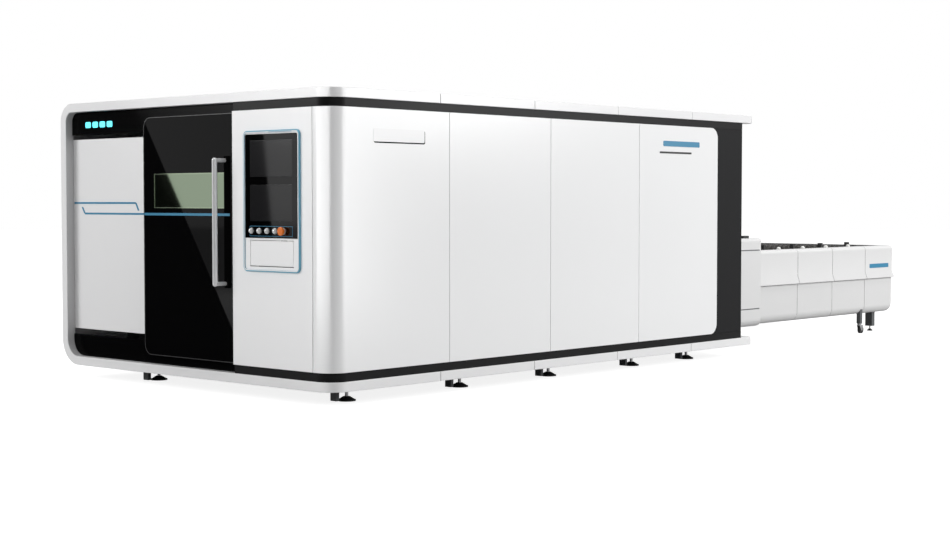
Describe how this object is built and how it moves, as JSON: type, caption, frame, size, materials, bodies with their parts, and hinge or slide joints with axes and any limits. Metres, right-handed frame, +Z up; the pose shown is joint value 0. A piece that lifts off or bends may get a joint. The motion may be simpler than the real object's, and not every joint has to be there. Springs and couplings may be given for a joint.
{
  "type": "fiber laser cutting machine",
  "caption": "Enclosed laser cutting machine: sliding door, operator console, gantry with cutting head inside, and a rear shuttle table that swaps its sheet pallets.",
  "frame": {"origin": "centre of the footprint's bounding box, on the floor", "axes": "+Z up; the operator's door and console face -Y; +Y runs back along the machine's length to the shuttle table"},
  "size_m": [3.13, 8.842, 2.156],
  "materials": {
    "cladding_white": "fine powder coat",
    "table_white": "fine powder coat",
    "liner_grey": "satin powder coat",
    "stripe_black": "matt powder coat",
    "door_black": "high gloss",
    "window_glass": "tinted laser-safe glass",
    "handle_chrome": "polished",
    "trim_blue": "satin powder coat",
    "console_black": "gloss",
    "screen": "gloss",
    "button_silver": "satin",
    "stop_orange": "gloss",
    "keyboard_black": "matt",
    "frame_grey": "satin",
    "steel": "machined",
    "slat_steel": "rough cut",
    "foot_black": "matt",
    "head_aluminium": "anodised",
    "guide_nylon": "matt",
    "caster_rubber": "matt"
  },
  "bodies": {
    "machine": {"bed_frame": "frame_grey", "foot_pads": "foot_black", "foot_studs": "steel", "gantry_rails": "steel", "pallet_tracks": "frame_grey", "front_ribbon": "cladding_white", "roof_rails": "cladding_white", "base_rails": "cladding_white", "stripe_channels": "stripe_black", "cladding_frame": "frame_grey", "corner_panel": "cladding_white", "side_panels_right": "cladding_white", "side_panels_left": "cladding_white", "end_panels": "stripe_black", "rear_panel": "cladding_white", "roof_panels": "cladding_white", "recess_liner": "liner_grey", "recess_panel": "cladding_white", "lintel": "stripe_black", "kick_panel": "stripe_black", "door_track": "steel", "control_panel": "cladding_white", "console_bezel": "trim_blue", "console_housing": "cladding_white", "console_glass": "console_black", "console_screens": "screen", "button_collars": "button_silver", "cabinets": "liner_grey", "table_frame": "frame_grey", "table_upper_covers": "table_white", "table_lower_covers": "table_white", "table_shroud": "table_white", "pallet_guides": "guide_nylon", "shuttle_drive": "trim_blue"},
    "door": {"door_panel": "door_black", "door_window": "window_glass", "door_handle": "handle_chrome", "door_hangers": "steel"},
    "push_button_1": {"push_button_1": "button_silver"},
    "push_button_2": {"push_button_2": "button_silver"},
    "push_button_3": {"push_button_3": "button_silver"},
    "push_button_4": {"push_button_4": "button_silver"},
    "emergency_stop": {"emergency_stop": "stop_orange"},
    "keyboard_flap": {"keyboard_flap": "cladding_white", "keyboard": "keyboard_black"},
    "gantry": {"gantry_beam": "cladding_white"},
    "carriage": {"gantry_carriage": "stripe_black"},
    "cutting_head": {"cutting_head": "head_aluminium"},
    "upper_pallet": {"upper_pallet": "frame_grey", "upper_slats": "slat_steel"},
    "upper_wheels_front": {"upper_wheels_front": "steel"},
    "upper_wheels_rear": {"upper_wheels_rear": "steel"},
    "lower_pallet": {"lower_pallet": "frame_grey", "lower_slats": "slat_steel"},
    "lower_wheels_front": {"lower_wheels_front": "steel"},
    "lower_wheels_rear": {"lower_wheels_rear": "steel"},
    "caster_fork_right": {"caster_fork_right": "steel"},
    "caster_wheel_right": {"caster_wheel_right": "caster_rubber"},
    "caster_fork_left": {"caster_fork_left": "steel"},
    "caster_wheel_left": {"caster_wheel_left": "caster_rubber"}
  },
  "joints": [
    {"name": "door_slide", "type": "slide", "parent": "machine", "child": "door", "axis": [1, 0, 0], "range_m": [-0.955, 0]},
    {"name": "push_button_1_press", "type": "slide", "parent": "machine", "child": "push_button_1", "axis": [0, 1, 0], "range_m": [0, 0.005], "stiffness_N_per_m": 500, "springref_m": -0.003},
    {"name": "push_button_2_press", "type": "slide", "parent": "machine", "child": "push_button_2", "axis": [0, 1, 0], "range_m": [0, 0.005], "stiffness_N_per_m": 500, "springref_m": -0.003},
    {"name": "push_button_3_press", "type": "slide", "parent": "machine", "child": "push_button_3", "axis": [0, 1, 0], "range_m": [0, 0.005], "stiffness_N_per_m": 500, "springref_m": -0.003},
    {"name": "push_button_4_press", "type": "slide", "parent": "machine", "child": "push_button_4", "axis": [0, 1, 0], "range_m": [0, 0.005], "stiffness_N_per_m": 500, "springref_m": -0.003},
    {"name": "emergency_stop_press", "type": "slide", "parent": "machine", "child": "emergency_stop", "axis": [0, 1, 0], "range_m": [0, 0.006]},
    {"name": "keyboard_flap_hinge", "type": "hinge", "parent": "machine", "child": "keyboard_flap", "pos_m": [0.977, -4.328, 0.943], "axis": [1, 0, 0], "range_deg": [0, 90]},
    {"name": "gantry_slide", "type": "slide", "parent": "machine", "child": "gantry", "axis": [0, 1, 0], "range_m": [-1.5, 1.5]},
    {"name": "carriage_slide", "type": "slide", "parent": "gantry", "child": "carriage", "axis": [1, 0, 0], "range_m": [-0.76, 0.76]},
    {"name": "head_slide", "type": "slide", "parent": "carriage", "child": "cutting_head", "axis": [0, 0, 1], "range_m": [-0.12, 0]},
    {"name": "pallet_shuttle", "type": "slide", "parent": "machine", "child": "upper_pallet", "axis": [0, 1, 0], "range_m": [-4.1, 0]},
    {"name": "lower_pallet_shuttle", "type": "slide", "parent": "machine", "child": "lower_pallet", "axis": [0, 1, 0], "range_m": [0, 4.1]},
    {"name": "upper_wheels_front_roll", "type": "hinge", "parent": "upper_pallet", "child": "upper_wheels_front", "pos_m": [0, 1.304, 0.838], "axis": [1, 0, 0], "continuous": true},
    {"name": "upper_wheels_rear_roll", "type": "hinge", "parent": "upper_pallet", "child": "upper_wheels_rear", "pos_m": [0, 3.774, 0.838], "axis": [1, 0, 0], "continuous": true},
    {"name": "lower_wheels_front_roll", "type": "hinge", "parent": "lower_pallet", "child": "lower_wheels_front", "pos_m": [0, -2.796, 0.608], "axis": [1, 0, 0], "continuous": true},
    {"name": "lower_wheels_rear_roll", "type": "hinge", "parent": "lower_pallet", "child": "lower_wheels_rear", "pos_m": [0, -0.326, 0.608], "axis": [1, 0, 0], "continuous": true},
    {"name": "caster_swivel_right", "type": "hinge", "parent": "machine", "child": "caster_fork_right", "pos_m": [1.087, 3.688, 0.1], "axis": [0, 0, 1], "continuous": true},
    {"name": "caster_spin_right", "type": "hinge", "parent": "caster_fork_right", "child": "caster_wheel_right", "pos_m": [1.087, 3.712, 0.039], "axis": [1, 0, 0], "continuous": true},
    {"name": "caster_swivel_left", "type": "hinge", "parent": "machine", "child": "caster_fork_left", "pos_m": [-1.087, 3.688, 0.1], "axis": [0, 0, 1], "continuous": true},
    {"name": "caster_spin_left", "type": "hinge", "parent": "caster_fork_left", "child": "caster_wheel_left", "pos_m": [-1.087, 3.712, 0.039], "axis": [1, 0, 0], "continuous": true}
  ],
  "couplings": [
    {"joint": "lower_pallet_shuttle", "follows": "pallet_shuttle", "ratio": -1},
    {"joint": "upper_wheels_front_roll", "follows": "pallet_shuttle", "rad_per_m": -25},
    {"joint": "upper_wheels_rear_roll", "follows": "pallet_shuttle", "rad_per_m": -25},
    {"joint": "lower_wheels_front_roll", "follows": "pallet_shuttle", "rad_per_m": 25},
    {"joint": "lower_wheels_rear_roll", "follows": "pallet_shuttle", "rad_per_m": 25}
  ]
}
